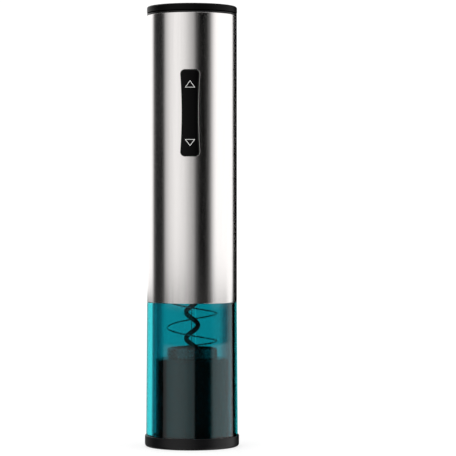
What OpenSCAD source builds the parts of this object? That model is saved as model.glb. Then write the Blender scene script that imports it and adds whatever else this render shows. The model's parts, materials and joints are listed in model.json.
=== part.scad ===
// Cordless electric corkscrew in a slim steel tube.
// A motor and a two-stage planetary gearbox turn a worm that hangs inside a clear cover.
// A sprung sleeve inside the cover takes the bottle's neck and rides up as the worm goes in.
// Origin: centre of the foot ring's underside. +Z is up and the rocker switch faces -Y.

/* [Shell] */
// Outside diameter of the steel tube
tube_d = 48; // [46:0.5:62]
// Wall of the steel tube
tube_wall = 0.6; // [0.4:0.1:0.9]
// Height of clear cover that shows between the foot ring and the tube
window_h = 71; // [64:1:90]
// Wall of the clear cover at its top edge
cover_wall = 2.65; // [2.2:0.05:3]
// How much wider across the cover is at its foot than at its top
cover_flare = 1; // [0:0.1:1.4]
// Length of the cover's spigot inside the tube
spigot_h = 14.5; // [12:0.5:18]
// Height of the foot ring
foot_h = 6; // [5:0.5:8]
// How far the foot ring stands out beyond the tube
foot_step = 1.2; // [1:0.1:3]
// Thickness of the foot ring's floor
foot_floor = 2.4; // [1.6:0.1:3]
// Height of the cap above its collar
cap_h = 4.2; // [3.6:0.1:8]

/* [Bottle guide] */
// Bore that takes the bottle's lip
socket_d = 31.6; // [30:0.1:33]
// Height at which the bottle's lip stops
lip_h = 16; // [12:0.5:20]
// Bore that takes the cork
cork_bore_d = 22.8; // [21:0.1:23.2]
// Outside diameter of the guide's body
guide_d = 38.6; // [37:0.1:39]
// Outside diameter of the guide's neck
guide_neck_d = 25.4; // [25:0.1:25.8]
// Height of the guide's shoulder
shoulder_h = 47; // [40:0.5:56]
// Length of the neck above the shoulder
guide_neck_h = 5.6; // [4:0.1:8]

/* [Worm] */
// Outside diameter of the worm's helix
worm_d = 8.8; // [7.6:0.1:10.6]
// Thickness of the worm's wire
worm_wire = 2.6; // [2.1:0.1:3]
// Rise of the worm in one turn
worm_pitch = 13.9; // [9:0.1:17]
// Height of the worm's point
worm_tip_h = 17.5; // [16.5:0.5:24]
// Diameter of the worm's shank
shank_d = 4; // [3:0.1:4.8]

/* [Guide spring] */
// Wire of the guide spring
spring_wire = 0.8; // [0.6:0.1:1]
// Rise of its open coils in one turn
spring_pitch = 14.7; // [10:0.1:18]
// Closed coils that grip the guide's neck
spring_closed = 6; // [2:0.5:6]
// Height that the flattened spring needs
spring_room = 14.5; // [10:0.5:18]
// Height of the spring's seat above the cover's top edge
seat_rise = 23; // [18:0.5:32]

/* [Gearbox] */
// Gear module
gear_module = 0.5; // [0.4:0.02:0.5]
// Teeth on each sun
sun_teeth = 9; // [9:3:12]
// Teeth on each planet
planet_teeth = 21; // [15:3:24]
// Width of the teeth
gear_w = 5; // [3:0.5:7]
// Play between meshing teeth
gear_play = 0.06; // [0.04:0.01:0.1]
// Diameter of the planets' pins
pin_d = 2.4; // [1.6:0.1:3]
// Diameter of the output hub
hub_d = 9; // [8:0.1:11]

/* [Motor] */
// Diameter of the motor
motor_d = 24.4; // [20:0.1:28]
// Length of the motor's body
motor_h = 30.8; // [25:0.1:38]
// Diameter of the motor's shaft
motor_shaft_d = 2; // [1.5:0.1:2.3]
// Height left for wires above the motor
wire_room = 8.8; // [8:0.1:14]

/* [Battery bay] */
// Diameter of one cell
cell_d = 14.2; // [11.8:0.1:14.2]
// Length of one cell
cell_h = 50.2; // [42:0.1:61]
// Gap between neighbouring cells
cell_gap = 0.6; // [0.4:0.1:0.8]
// Height of the sprung contacts at each end of the cells
contact_h = 4; // [3:0.1:5]
// Rise of the cap's thread in one turn
cap_lead = 15; // [12:0.5:18]
// Turn that frees the cap
cap_turn = 150; // [120:5:160]

/* [Rocker switch] */
// Length of the rocker
rocker_h = 45; // [40:0.5:54]
// Width of the rocker at its ends
rocker_w = 9.8; // [8.4:0.1:10.6]
// Width of the rocker at its waist
rocker_waist = 8; // [7.4:0.1:10.4]
// Distance from the tube's top edge down to the rocker's middle
rocker_drop = 53; // [42:0.5:60]
// How far the rocker stands out from the tube
rocker_proud = 0.9; // [0.5:0.1:1.1]
// Distance from the rocker's middle to each switch button
button_reach = 15; // [12.5:0.1:18]

/* [Hidden] */

$fn = 64;
e = 0.01;            // overlap that makes a cut clean
press = 0.01;        // gap all round a pressed or glued joint
fit = 0.05;          // gap all round parts that plug together
run = 0.05;          // gap all round a turning shaft
slide = 0.25;        // gap all round the guide's flange
free = 0.4;          // gap all round parts that must not touch
end_float = 0.2;     // gap between turning faces

// Shell radii, from outside to inside
tube_r = tube_d / 2;
tube_in = tube_r - tube_wall;
foot_r = tube_r + foot_step;
cover_foot_r = tube_r + cover_flare / 2;
spigot_r = tube_in - fit;
cover_in = tube_r - cover_wall;
chassis_r = tube_in - free;
chassis_wall = 1.6;
chassis_in = chassis_r - chassis_wall;

// Heights at the bottle end
window_top = foot_h + window_h;
seat_z = window_top + seat_rise;
seat_t = 1.2;
guide_travel = seat_z - spring_room - shoulder_h;
guide_r = guide_d / 2;
guide_gap = 0.45;
guide_foot_z = foot_floor + 0.1;
socket_r = socket_d / 2;
mouth_r = socket_r + 0.7;
cork_r = cork_bore_d / 2;
key_w = 2.4;
key_h = 1.25;

// Chassis ring that plugs into the cover, held by four hooks in the cover's windows
plug_r = cover_in - 0.2;
plug_in = guide_r + guide_gap;
plug_z = window_top + 2;
step_z = window_top + spigot_h + 0.5;
hook_w = 8;
hook_h = 4;
hook_z = window_top + 6;
hook_angles = [45, 135, 225, 315];

// Involute gearing: the working pressure angle opens the centre distance for the small sun
pressure_angle = 25;
working_angle = 27;
flank_steps = 3;
ring_teeth = sun_teeth + 2 * planet_teeth;
function inv(a) = tan(a) - a * PI / 180;
sun_shift = (inv(working_angle) - inv(pressure_angle)) * (sun_teeth + planet_teeth)
    / (2 * tan(pressure_angle));
orbit_r = gear_module * (sun_teeth + planet_teeth) / 2 * cos(pressure_angle) / cos(working_angle);
sun_root = gear_module * (sun_teeth / 2 - 1.25 + sun_shift);
sun_tip = gear_module * (sun_teeth / 2 + 0.85 + sun_shift);
planet_root = gear_module * (planet_teeth / 2 - 1.25);
planet_tip = gear_module * (planet_teeth / 2 + 1);
ring_tip = gear_module * (ring_teeth / 2 - 1 + sun_shift);
ring_root = gear_module * (ring_teeth / 2 + 1.25 + sun_shift);
ring_phase = planet_teeth % 2 == 0 ? 180 / ring_teeth : 0;
planet_angles = [0, 120, 240];
housing_r = ring_root + 3.1;
plate_screw_r = (ring_root + housing_r) / 2;
plate_screw_angles = [60, 180, 300];
pin_r = pin_d / 2;
hub_r = hub_d / 2;
bush_r = hub_r + 1.5;
carrier_r = orbit_r + pin_r + 1.4;

// Heights up the drive train
floor_t = 2;
floor_z = seat_z + seat_t;
box_z = floor_z + floor_t;
box_floor = 3;
bush_flange = 0.8;
washer_t = 0.5;
bush_top = box_z + box_floor + bush_flange;
out_z = bush_top + washer_t + 0.1;
out_t = 2.6;
stage2_z = out_z + out_t + end_float;
mid_z = stage2_z + gear_w + 2 * end_float;
mid_t = 2.4;
stage1_z = mid_z + mid_t + end_float;
plate_z = stage1_z + gear_w + 1;
plate_t = 2;
motor_z = plate_z + plate_t;
motor_top = motor_z + motor_h;
end_cap_h = 3.2;
motor_r = motor_d / 2;
motor_flat = motor_r - 1.8;
motor_wall = 1;
motor_boss_r = 3;
motor_screw_x = 8;
magnet_in = motor_r - 3.4;
terminal_x = 7;
clip_z = floor_z + 0.4;
clip_t = 0.7;
hub_foot = seat_z + 0.2;
hub_hole_r = 8.5;

// Heights up the battery bay
tray_z = motor_top + wire_room;
tray_t = 2;
tray_top = tray_z + tray_t;
cell_z = tray_top + contact_h;
cell_top = cell_z + cell_h;
carrier_z = cell_top + contact_h - 0.9;
carrier_t = 2.2;
tube_top = carrier_z + 4.9;
collar_h = 11.2;
collar_z = tube_top - collar_h;
collar_rim = 0.8;
cap_z = tube_top + collar_rim + 0.1;
cap_top = cap_z + cap_h;
cap_r = tube_r + 0.1;
cap_roof = 2;
cell_r = cell_d / 2;
cell_x = cell_r + cell_gap / 2;
plate_metal = 0.4;
contact_pad_r = 5;

// The cap turns on the keyed contact carrier, which a square post stops from turning
post_w = 4;
boss_r = 4.6;
hub_lip_z = carrier_z + carrier_t + 3.7;
cap_spigot_r = chassis_in - 1.4;
cap_spigot_in = cap_spigot_r - 2.4;
collar_in = cap_spigot_r + 0.2;
lug_h = 1.6;
lug_r = cap_spigot_r + 1.5;
lug_z = carrier_z;
lug_arc = 14;
groove_h = 2.7;

// Rocker and control board, set back from the tube's surface
rocker_z = tube_top - rocker_drop;
rocker_face = tube_r + rocker_proud;
rocker_back = rocker_face - 3.3;
rocker_gap = 0.35;
rocker_tilt = 3;
pivot_y = rocker_back - 1.2;
peg_r = 0.9;
board_front = tube_r - 7.5;
board_t = 1;
board_w = 12;
board_foot = rocker_z - 27;
board_top = rocker_z + 27;
board_screw_heights = [board_foot + 2.2, board_top - 2.2];
pocket_back = board_front - board_t - 0.6;
pocket_in = board_w / 2 + 0.2;
rail_t = 1.4;
switch_w = 6;
switch_t = 2.9;
button_r = 1.7;
button_head = rocker_back - 1.1;
stud_gap = 0.1;

// Screws through the chassis halves, as [side, height]
seam_x = chassis_r - 3.6;
seam_heights = [stage1_z - 1, motor_top + 2.5, collar_z - 7.5];
boss_screw_r = chassis_in - 3.2;

// Insulated leads that end in the control board's back
lead_r = 0.6;
lead_steps = 4;
lead_exit = 1.21 - (board_front - board_t);

// A tube or disc: outer radius, inner radius, from height a to height b
module ring(outer, inner, a, b) {
    translate([0, 0, a]) difference() {
        cylinder(r = outer, h = b - a);
        if (inner > 0) translate([0, 0, -e]) cylinder(r = inner, h = b - a + 2 * e);
    }
}

// A straight round bar along Z from height a to height b
module bar(r, a, b) {
    translate([0, 0, a]) cylinder(r = r, h = b - a);
}

// A box given by two opposite corners
module block(low, high) {
    translate(low) cube(high - low);
}

module around(angles) {
    for (a = angles) rotate(a) children();
}

function unit(v) = v / norm(v);

// Surface over equal rings of points, closed at both ends
module skin(points, rings, sides) {
    walls = [for (i = [0:rings - 2]) for (j = [0:sides - 1]) let (
            k = (j + 1) % sides,
            a = i * sides + j, b = a + sides, c = (i + 1) * sides + k, d = i * sides + k)
        for (f = [[a, b, c], [a, c, d]]) f];
    foot = [for (j = [0:sides - 1]) j];
    head = [for (j = [sides - 1:-1:0]) (rings - 1) * sides + j];
    polyhedron(points, concat([foot], walls, [head]), convexity = 10);
}

// Round wire swept along a path, with one wire radius and one reference direction per point
module sweep(path, radii, refs, sides = 8) {
    n = len(path);
    skin([for (i = [0:n - 1]) let (
            along = unit(path[min(i + 1, n - 1)] - path[max(i - 1, 0)]),
            u = unit(refs[i] - (refs[i] * along) * along),
            v = cross(along, u))
        for (j = [0:sides - 1]) let (a = 360 * j / sides)
            path[i] + radii[i] * (cos(a) * u + sin(a) * v)], n, sides);
}

// A coil through stations of [radius, turn angle, height, wire radius]
module coil(stations, sides = 8) {
    sweep([for (s = stations) [s[0] * cos(s[1]), s[0] * sin(s[1]), s[2]]],
        [for (s = stations) s[3]],
        [for (s = stations) [cos(s[1]), sin(s[1]), 0]], sides);
}

// A smooth lead through a few points
function spline(a, b, c, d, t) = 0.5 * (2 * b + (c - a) * t + (2 * a - 5 * b + 4 * c - d) * t * t
    + (3 * b - a - 3 * c + d) * t * t * t);
module lead(points, ref) {
    n = len(points);
    path = concat([for (i = [0:n - 2]) for (k = [0:lead_steps - 1])
        spline(points[max(i - 1, 0)], points[i], points[i + 1], points[min(i + 2, n - 1)], k / lead_steps)],
        [points[n - 1], points[n - 1] - [0, 1.2, 0]]);
    sweep(path, [for (p = path) lead_r], [for (p = path) ref]);
}

// ---- gears ----

function base_r(teeth) = gear_module * teeth * cos(pressure_angle) / 2;

// Half the angle of a tooth at radius r, in degrees
function half_tooth(teeth, shift, r, play) = let (rb = base_r(teeth), a = acos(min(1, rb / r)))
    (180 / PI) * (PI / (2 * teeth) + 2 * shift * tan(pressure_angle) / teeth
        + inv(pressure_angle) - inv(a) - play / (gear_module * teeth));

// Outline of an involute gear with one tooth on the X axis
function gear_points(teeth, shift, root_r, tip_r, play) = let (
        start = max(root_r, base_r(teeth)),
        radii = [for (k = [0:flank_steps]) start + (tip_r - start) * k / flank_steps],
        halves = [for (r = radii) half_tooth(teeth, shift, r, play)],
        under = root_r < start)
    [for (i = [0:teeth - 1]) let (mid = 360 * i / teeth)
        for (p = concat(
            under ? [[root_r, mid - halves[0]]] : [],
            [for (k = [0:flank_steps]) [radii[k], mid - halves[k]]],
            [for (k = [flank_steps:-1:0]) [radii[k], mid + halves[k]]],
            under ? [[root_r, mid + halves[0]]] : []))
        p[0] * [cos(p[1]), sin(p[1])]];

module sun_gear(h) {
    linear_extrude(h) polygon(gear_points(sun_teeth, sun_shift, sun_root, sun_tip, gear_play));
}

// A planet on its pin: turned so that a gap faces the sun
module planet(angle, z) {
    color("#e8e4d8") rotate(angle) translate([orbit_r, 0, z]) difference() {
        rotate(180 + 180 / planet_teeth) linear_extrude(gear_w)
            polygon(gear_points(planet_teeth, 0, planet_root, planet_tip, gear_play));
        translate([0, 0, -e]) cylinder(r = pin_r + run, h = gear_w + 2 * e);
    }
}

module planet_pins(a, b) {
    color("#9a9da0") around(planet_angles) translate([orbit_r, 0, 0]) bar(pin_r, a, b);
}

module pin_holes(a, b) {
    around(planet_angles) translate([orbit_r, 0, 0]) bar(pin_r + press, a, b);
}

// ---- outer shell ----

module base_ring() {
    round_r = 1.5;
    color("#17181a") difference() {
        rotate_extrude() polygon(concat(
            [[mouth_r, 0.6], [mouth_r + 0.6, 0]],
            [for (a = [-90:15:0]) [foot_r - round_r + round_r * cos(a), round_r + round_r * sin(a)]],
            [[foot_r, foot_h - 0.3], [foot_r - 0.3, foot_h], [mouth_r, foot_h]]));
        translate([0, 0, foot_floor]) cylinder(r = cover_foot_r + fit, h = foot_h);
    }
}

module clear_cover() {
    color("#0e9aa8", 0.5) difference() {
        rotate_extrude() polygon([[cover_in, foot_floor], [cover_foot_r, foot_floor],
            [cover_foot_r, foot_h], [tube_r, window_top], [spigot_r, window_top],
            [spigot_r, window_top + spigot_h], [cover_in, window_top + spigot_h]]);
        around(hook_angles) block([cover_in - 1, -hook_w / 2 - 0.3, hook_z - 0.4],
            [tube_r, hook_w / 2 + 0.3, hook_z + hook_h + 0.3]);
    }
    // rib at the back that stops the guide from turning
    color("#0e9aa8", 0.5) intersection() {
        ring(cover_in + 0.3, cover_in - key_h, foot_floor, plug_z - 1);
        block([-key_w / 2, 0, foot_floor], [key_w / 2, tube_r, window_top]);
    }
}

// Half width of the rocker's outline at height t above its middle
function rocker_half(t) = rocker_waist / 2 + (rocker_w - rocker_waist) / 2 * pow(2 * t / rocker_h, 2);

// Rocker outline with a gap g all round, in X and Z
function rocker_points(g) = let (
        corner = 2, steps = 8, end = rocker_h / 2, last = end - corner, w = rocker_half(last),
        side = [for (k = [-steps:steps]) [rocker_half(k / steps * last) + g, k / steps * last]],
        upper = [for (a = [15:15:90]) [w - corner + (corner + g) * cos(a), last + (corner + g) * sin(a)]],
        lower = [for (p = upper) [p[0], -p[1]]],
        right = concat([for (k = [len(lower) - 1:-1:0]) lower[k]], side, upper))
    concat(right, [for (k = [len(right) - 1:-1:0]) [-right[k][0], right[k][1]]]);

// Prism of the rocker's outline from depth y a to depth y b
module rocker_prism(g, a, b) {
    translate([0, -a, rocker_z]) rotate([90, 0, 0]) linear_extrude(b - a) polygon(rocker_points(g));
}

module steel_tube() {
    color("#c3c5c8") difference() {
        ring(tube_r, tube_in, window_top, tube_top);
        rocker_prism(rocker_gap, tube_in - 3, tube_r + 2);
    }
}

module top_cap() {
    round_r = 1;
    dome = 0.3;
    edge_z = cap_top - dome - round_r;
    color("#1a1b1d") {
        difference() {
            rotate_extrude() polygon(concat(
                [[0, cap_z], [cap_r, cap_z]],
                [for (a = [0:15:90]) [cap_r - round_r + round_r * cos(a), edge_z + round_r * sin(a)]],
                [[cap_r * 0.5, cap_top - dome * 0.25], [0, cap_top]]));
            translate([0, 0, cap_z - e]) cylinder(r = cap_spigot_in, h = cap_h - cap_roof - dome);
        }
        ring(cap_spigot_r, cap_spigot_in, lug_z - 0.5, cap_z + 1);
        // boss that holds the contact carrier's hub
        difference() {
            bar(boss_r + 2.4, carrier_z + carrier_t + 0.5, cap_top - cap_roof);
            bar(boss_r + 0.3, carrier_z, cap_top - cap_roof - dome);
            bar(boss_r + 1.3, hub_lip_z - 0.3, cap_top - cap_roof - dome);
        }
        around([0, 120, 240]) rotate(-lug_arc) rotate_extrude(angle = lug_arc)
            translate([cap_spigot_r - 0.5, lug_z]) square([lug_r - cap_spigot_r + 0.5, lug_h]);
    }
}

// Rectangular band that climbs as it turns, for the thread's grooves
module climbing_band(r0, r1, h, z, from, to) {
    steps = 16;
    skin([for (i = [0:steps]) let (a = from + (to - from) * i / steps, up = z + cap_lead * (a - from) / 360)
        for (p = [[r0, 0], [r0, h], [r1, h], [r1, 0]])
            [p[0] * cos(a), p[0] * sin(a), up + p[1]]], steps + 1, 4);
}

module cap_collar() {
    color("#202123") difference() {
        union() {
            ring(spigot_r, collar_in, collar_z, tube_top + e);
            ring(tube_r, collar_in, tube_top, tube_top + collar_rim);
            // ears for the two screws
            difference() {
                intersection() {
                    bar(spigot_r, collar_z, collar_z + 2.4);
                    block([-3.6, -tube_r, collar_z], [3.6, tube_r, collar_z + 2.4]);
                }
                bar(boss_screw_r - 2.6, collar_z - e, collar_z + 3);
            }
        }
        around([90, 270]) translate([boss_screw_r, 0, 0]) bar(1.35, collar_z - e, collar_z + 3);
        around([0, 120, 240])
            climbing_band(collar_in - 0.6, lug_r + 0.3, groove_h,
                lug_z - 0.3 - cap_lead * (lug_arc + 2) / 360, -lug_arc - 2, cap_turn + 4);
    }
}

module collar_screws() {
    color("#8f9296") around([90, 270]) translate([boss_screw_r, 0, 0]) {
        bar(1.8, collar_z + 2.4, collar_z + 3.8);
        bar(1.1, collar_z - 7, collar_z + 2.5);
    }
}

// ---- bottle end ----

module guide_sleeve() {
    flange_r = cover_in - slide;
    flange_top = foot_h - 0.1;
    core_r = cork_r + 1.8;
    hollow_r = socket_r - 0.4;
    neck_r = guide_neck_d / 2;
    neck_top = shoulder_h + guide_neck_h;
    roof_t = 2;
    shoulder_round = 1.2;
    color("#1c1d1f") difference() {
        union() {
            difference() {
                rotate_extrude() polygon(concat(
                    [[cork_r, guide_foot_z], [flange_r, guide_foot_z], [flange_r, flange_top],
                        [guide_r, flange_top]],
                    [for (a = [0:15:90]) [guide_r - shoulder_round + shoulder_round * cos(a),
                        shoulder_h - shoulder_round + shoulder_round * sin(a)]],
                    [[neck_r, shoulder_h], [neck_r, neck_top - 0.4], [neck_r - 0.4, neck_top],
                        [cork_r, neck_top]]));
                bar(socket_r, guide_foot_z - e, lip_h);
                translate([0, 0, guide_foot_z - e]) cylinder(r1 = socket_r + 1, r2 = socket_r, h = 1);
                ring(hollow_r, core_r, lip_h - e, shoulder_h - roof_t);
            }
            // ribs between the outer wall and the cork tube: the bottle's lip stops against them
            intersection() {
                ring(hollow_r + 0.5, core_r - 0.5, lip_h, shoulder_h - roof_t + 0.5);
                around([0:45:315]) block([core_r - 1, -0.7, lip_h], [hollow_r + 1, 0.7, shoulder_h]);
            }
            // small ribs that stop the cork from turning
            around([30:60:330])
                block([cork_r - 0.4, -0.4, lip_h + 2], [cork_r + 0.5, 0.4, shoulder_h]);
        }
        // slot for the cover's rib
        block([-key_w / 2 - 0.35, cover_in - key_h - 0.35, 0], [key_w / 2 + 0.35, tube_r, foot_h + 1]);
    }
}

module guide_spring() {
    steps = 24;
    mean_r = (guide_neck_d / 2 + spring_wire / 2 + 0.05) / cos(180 / steps);
    rise = spring_wire + 0.05;
    low = shoulder_h + spring_wire / 2;
    mid = low + spring_closed * rise;
    high = seat_z - spring_wire / 2 - rise;
    turns = (high - mid) / spring_pitch;
    shut = [for (i = [0:steps * spring_closed - 1]) [i / steps, low + i / steps * rise]];
    open_n = ceil(turns * steps);
    open = [for (i = [0:open_n]) [spring_closed + turns * i / open_n, mid + (high - mid) * i / open_n]];
    top = [for (i = [1:steps]) [spring_closed + turns + i / steps, high + i / steps * rise]];
    // left-hand: the angle falls as the wire climbs
    phase = 360 * (spring_closed + (window_top - 6.2 - mid) / spring_pitch);
    color("#b9bcc0") coil([for (s = concat(shut, open, top))
        [mean_r, phase - 360 * s[0], s[1], spring_wire / 2]]);
}

module spring_seat() {
    color("#8d9093") ring(chassis_in - 0.2, hub_hole_r, seat_z, floor_z);
}

module worm() {
    line_r = worm_d / 2 - worm_wire / 2;
    straight_z = seat_z - 17;
    helix_top = straight_z - 0.5 * worm_pitch;
    end_z = out_z + out_t - 0.7;
    per_turn = 24;
    phase = 180 - 360 * (window_top - 19.5) / worm_pitch;
    n = round((helix_top - worm_tip_h) / worm_pitch * per_turn);
    taper = 0.7 * per_turn;
    helix = [for (i = [0:n]) let (z = worm_tip_h + (helix_top - worm_tip_h) * i / n)
        [line_r, z, worm_wire / 2 * (0.12 + 0.88 * sin(90 * min(1, i / taper)))]];
    // the wire runs in to the axis over half a turn and thickens to the shank
    blend = [for (i = [1:14]) let (t = i / 14, s = t * t * (3 - 2 * t))
        [line_r * (1 - s), helix_top + (straight_z - helix_top) * t,
            worm_wire / 2 + (shank_d - worm_wire) / 2 * s]];
    shank = [[0, straight_z + 1, shank_d / 2], [0, end_z, shank_d / 2]];
    color("#5d6064") coil([for (s = concat(helix, blend, shank))
        [s[0], phase + 360 * s[1] / worm_pitch, s[1], s[2]]], 12);
}

// ---- drive ----

module output_carrier() {
    color("#86898d") difference() {
        union() {
            bar(carrier_r, out_z, out_z + out_t);
            bar(hub_r, hub_foot, out_z + e);
        }
        ring(hub_r + 1, hub_r - 0.9, clip_z - 0.05, clip_z + clip_t + 0.05);
        bar(shank_d / 2 + press, hub_foot - e, out_z + out_t - 0.6);
        pin_holes(out_z - e, out_z + out_t + e);
    }
}

module retaining_clip() {
    color("#3c3e41") difference() {
        ring(hub_r + 2.2, hub_r - 0.85, clip_z, clip_z + clip_t);
        block([0, -hub_r * 0.55, clip_z - 1], [hub_r * 3, hub_r * 0.55, clip_z + clip_t + 1]);
    }
}

module stage1_carrier() {
    color("#86898d") {
        difference() {
            bar(carrier_r, mid_z, mid_z + mid_t);
            pin_holes(mid_z - e, mid_z + mid_t + e);
        }
        translate([0, 0, stage2_z + end_float]) sun_gear(mid_z - stage2_z - end_float + 0.5);
    }
}

module motor_pinion() {
    color("#c9a24a") difference() {
        translate([0, 0, stage1_z + 0.5]) sun_gear(gear_w);
        bar(motor_shaft_d / 2 + press, stage1_z, stage1_z + gear_w + 1);
    }
}

module gearbox_housing() {
    color("#2a2b2e") difference() {
        union() {
            bar(housing_r, box_z, plate_z);
            // ears that stop the housing from turning in the chassis
            around([0, 180]) block([housing_r - 1, -1.5, box_z], [housing_r + 2, 1.5, box_z + 6]);
        }
        bar(bush_r + press, box_z - e, box_z + box_floor + 1);
        rotate(ring_phase) translate([0, 0, box_z + box_floor + bush_flange - e]) linear_extrude(plate_z)
            polygon(gear_points(ring_teeth, sun_shift, ring_tip, ring_root, -gear_play));
        bar(ring_tip, box_z + box_floor, plate_z);
        around(plate_screw_angles) translate([plate_screw_r, 0, 0])
            bar(0.9 + press, plate_z - 7, plate_z + e);
    }
}

module output_bush() {
    color("#b08a4e") difference() {
        union() {
            bar(bush_r, box_z, box_z + box_floor + e);
            bar(bush_r + 2, box_z + box_floor, bush_top);
        }
        bar(hub_r + run, box_z - e, bush_top + e);
    }
}

module thrust_washer() {
    color("#caccce") ring(bush_r + 1.6, hub_r + 0.2, bush_top + 0.05, bush_top + 0.05 + washer_t);
}

module countersunk(head_r, shank_r, top, length) {
    translate([0, 0, top - 1]) cylinder(r1 = shank_r, r2 = head_r, h = 1);
    bar(shank_r, top - length, top - 1 + e);
}

module motor_plate() {
    color("#9b9ea2") difference() {
        bar(housing_r, plate_z, plate_z + plate_t);
        bar(motor_boss_r + fit, plate_z - e, motor_z + e);
        around(plate_screw_angles) translate([plate_screw_r, 0, 0])
            countersunk(1.5 + fit, 0.9 + fit, motor_z + e, 9);
        around([90, 270]) translate([motor_screw_x, 0, 0]) {
            bar(1.3 + fit, plate_z - e, motor_z + e);
            translate([0, 0, plate_z - e]) cylinder(r1 = 2.3 + fit, r2 = 1.3 + fit, h = 1);
        }
    }
}

module plate_screws() {
    color("#8f9296") around(plate_screw_angles) translate([plate_screw_r, 0, 0])
        countersunk(1.5, 0.9, motor_z, 8);
}

module motor_screws() {
    color("#8f9296") around([90, 270]) translate([motor_screw_x, 0, 0]) {
        translate([0, 0, plate_z]) cylinder(r1 = 2.3, r2 = 1.3, h = 1);
        bar(1.25, plate_z + 1 - e, motor_z + 0.9);
    }
}

// Round body with two flats, shrunk by g, from height a to height b
module flatted(g, a, b) {
    intersection() {
        bar(motor_r - g, a, b);
        block([-motor_r, g - motor_flat, a], [motor_r, motor_flat - g, b]);
    }
}

module motor_can() {
    color("#b4b7ba") difference() {
        union() {
            flatted(0, motor_z, motor_top - end_cap_h);
            bar(motor_boss_r, motor_z - 1.5, motor_z + 1);
        }
        flatted(motor_wall, motor_z + motor_wall, motor_top);
        bar(motor_shaft_d / 2 + run, motor_z - 2, motor_z + 2);
        around([90, 270]) translate([motor_screw_x, 0, 0])
            bar(1.25 + press, motor_z - e, motor_z + motor_wall + e);
    }
}

module motor_magnets() {
    color("#4a4b4e") intersection() {
        ring(motor_r - motor_wall - 0.1, magnet_in, motor_z + 5, motor_top - end_cap_h - 4);
        around([0, 180]) block([2, -motor_r * 0.55, motor_z], [motor_r, motor_r * 0.55, motor_top]);
    }
}

module motor_end_cap() {
    color("#d9d7cf") difference() {
        union() {
            flatted(0.1, motor_top - end_cap_h, motor_top);
            bar(3.6, motor_top - e, motor_top + 1.2);
        }
        bar(motor_shaft_d / 2 + run, motor_z, motor_top + 2);
        around([0, 180]) block([terminal_x - 0.3, -1.1, motor_z], [terminal_x + 0.3, 1.1, motor_top + 1]);
    }
}

module motor_terminals() {
    color("#c8a050") around([0, 180])
        block([terminal_x - 0.25, -1, motor_top - end_cap_h], [terminal_x + 0.25, 1, motor_top + 3.4]);
}

module motor_shaft() {
    color("#a9acb0") bar(motor_shaft_d / 2, stage1_z + 0.3, motor_top + 0.8);
}

module motor_armature() {
    core_r = magnet_in - 0.4;
    color("#6d5a48") difference() {
        bar(core_r, motor_z + 7, motor_top - end_cap_h - 8);
        bar(motor_shaft_d / 2 + press, motor_z, motor_top);
        around([60, 180, 300]) block([core_r - 2.4, -0.6, motor_z], [core_r + 1, 0.6, motor_top]);
    }
}

module commutator() {
    color("#b9753c") difference() {
        bar(2.6, motor_top - end_cap_h - 6, motor_top - end_cap_h - 1);
        bar(motor_shaft_d / 2 + press, motor_z, motor_top);
        around([0, 120, 240]) block([1.8, -0.2, motor_z], [3, 0.2, motor_top]);
    }
}

// ---- chassis ----

module chassis_shape() {
    web_t = 1.5;
    outer = chassis_in + 0.5;
    difference() {
        union() {
            ring(chassis_r, chassis_in, step_z, collar_z);
            ring(chassis_r, plug_in, step_z, step_z + 1.6);
            ring(plug_r, plug_in, plug_z, step_z + 1);
            ring(outer, hub_hole_r, floor_z, box_z);
            ring(outer, housing_r + 0.2, box_z + 2, box_z + 2 + web_t);
            ring(outer, motor_r + 0.2, motor_z + 0.1, motor_z + 0.1 + web_t);
            ring(outer, motor_r + 0.2, motor_top - 8, motor_top - 8 + web_t);
            ring(outer, 17, tray_z - web_t - 0.05, tray_z - 0.05);
            around(hook_angles) intersection() {
                block([plug_in, -hook_w / 2, hook_z], [spigot_r - 0.4, hook_w / 2, hook_z + hook_h]);
                bar(spigot_r - 0.3, plug_z, step_z);
            }
            intersection() {
                bar(outer, floor_z, collar_z);
                for (side = [-1, 1], z = seam_heights)
                    translate([side * seam_x, 0, z]) rotate([90, 0, 0])
                        cylinder(r = 2.5, h = 14, center = true);
            }
            around([90, 270]) intersection() {
                union() {
                    translate([boss_screw_r, 0, 0]) bar(2.8, collar_z - 9, collar_z);
                    block([boss_screw_r, -2.8, collar_z - 9], [outer, 2.8, collar_z]);
                }
                bar(outer, floor_z, collar_z);
            }
        }
        around([0, 180]) block([housing_r - 2, -1.7, box_z], [housing_r + 2.2, 1.7, box_z + 6.2]);
        for (side = [-1, 1], z = seam_heights) translate([side * seam_x, 0, z]) rotate([-90, 0, 0]) {
            translate([0, 0, -8]) cylinder(r = 1.1 + press, h = 16);
            translate([0, 0, 6]) cylinder(r = 2.2, h = tube_r);
        }
        around([90, 270]) translate([boss_screw_r, 0, 0]) bar(1.1 + press, collar_z - 8, collar_z + e);
    }
}

// Pocket behind the rocker: two rails, two end walls and a thin back with two screw bosses
module switch_pocket() {
    wall = pocket_in + rail_t;
    intersection() {
        block([-wall, -chassis_r, board_foot - 1.2], [wall, -pocket_back, board_top + 1.2]);
        bar(chassis_in + 0.5, board_foot - 2, board_top + 2);
    }
    for (z = board_screw_heights)
        translate([0, -pocket_back - e, z]) rotate([-90, 0, 0]) cylinder(r = 1.9, h = 2);
}

module switch_pocket_cuts() {
    block([-pocket_in, -tube_r, board_foot - 0.1], [pocket_in, -(board_front - board_t), board_top + 0.1]);
    // window in the back for the leads
    block([-4.6, -tube_r, board_foot + 4], [4.6, 0, board_foot + 12]);
    translate([0, -pivot_y, rocker_z]) rotate([0, 90, 0])
        cylinder(r = peg_r + run, h = 2 * (pocket_in + rail_t) + 1, center = true);
    for (z = board_screw_heights)
        translate([0, -board_front, z]) rotate([-90, 0, 0]) cylinder(r = 0.9 + press, h = 3.4);
}

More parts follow.
